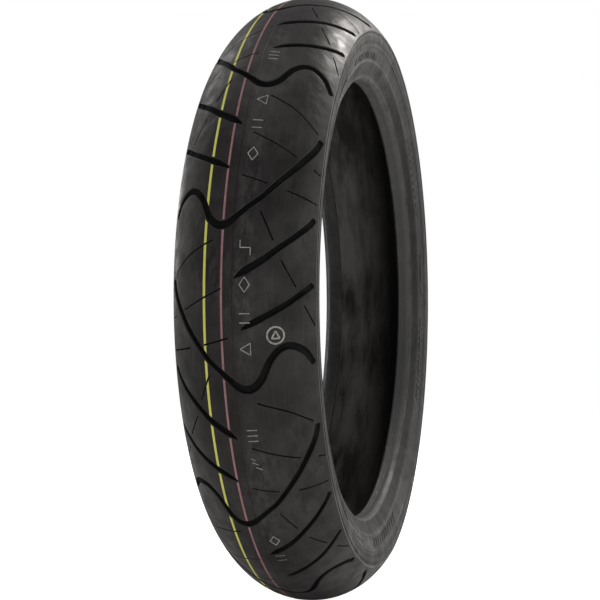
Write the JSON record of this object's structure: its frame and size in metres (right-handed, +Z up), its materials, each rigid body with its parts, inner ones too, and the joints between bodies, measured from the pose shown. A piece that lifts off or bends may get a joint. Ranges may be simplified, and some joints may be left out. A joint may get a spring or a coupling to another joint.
{
  "type": "motorcycle tire",
  "caption": "Round-crowned motorcycle front tire with slanted wave grooves, painted stripes, and bead seats that fit a 17 inch rim.",
  "frame": {"origin": "centre of the wheel: on the axle line, midway between the two sidewalls", "axes": "+Y along the axle, towards the left sidewall; +Z up; -X towards the side of the tread that carries the stamps"},
  "size_m": [0.6, 0.1234, 0.6],
  "materials": {
    "tread_rubber": "matte",
    "shoulder_rubber": "satin",
    "base_rubber": "matte",
    "belt_cord": "matte",
    "ply_fabric": "matte",
    "liner_rubber": "matte",
    "sidewall_rubber": "satin",
    "wrap_fabric": "matte",
    "bead_steel": "bronze-coated wire",
    "chafer_rubber": "satin",
    "yellow_paint": "matte paint",
    "pink_paint": "matte paint",
    "stamp_ink": "matte ink"
  },
  "bodies": {
    "root": {"tread_centre": "tread_rubber", "tread_shoulder_left": "shoulder_rubber", "tread_shoulder_right": "shoulder_rubber", "tread_base": "base_rubber", "spiral_belt": "belt_cord", "belt_cushion_left": "base_rubber", "belt_cushion_right": "base_rubber", "carcass_ply_outer": "ply_fabric", "carcass_ply_inner": "ply_fabric", "inner_liner": "liner_rubber", "sidewall_left": "sidewall_rubber", "sidewall_right": "sidewall_rubber", "bead_filler_left": "base_rubber", "bead_filler_right": "base_rubber", "bead_wrap_left": "wrap_fabric", "bead_wrap_right": "wrap_fabric", "bead_rubber_left": "base_rubber", "bead_rubber_right": "base_rubber", "bead_wire_left": "bead_steel", "bead_wire_right": "bead_steel", "chafer_left": "chafer_rubber", "chafer_right": "chafer_rubber", "stripe_yellow": "yellow_paint", "stripe_pink": "pink_paint", "tread_stamps": "stamp_ink"}
  },
  "joints": []
}
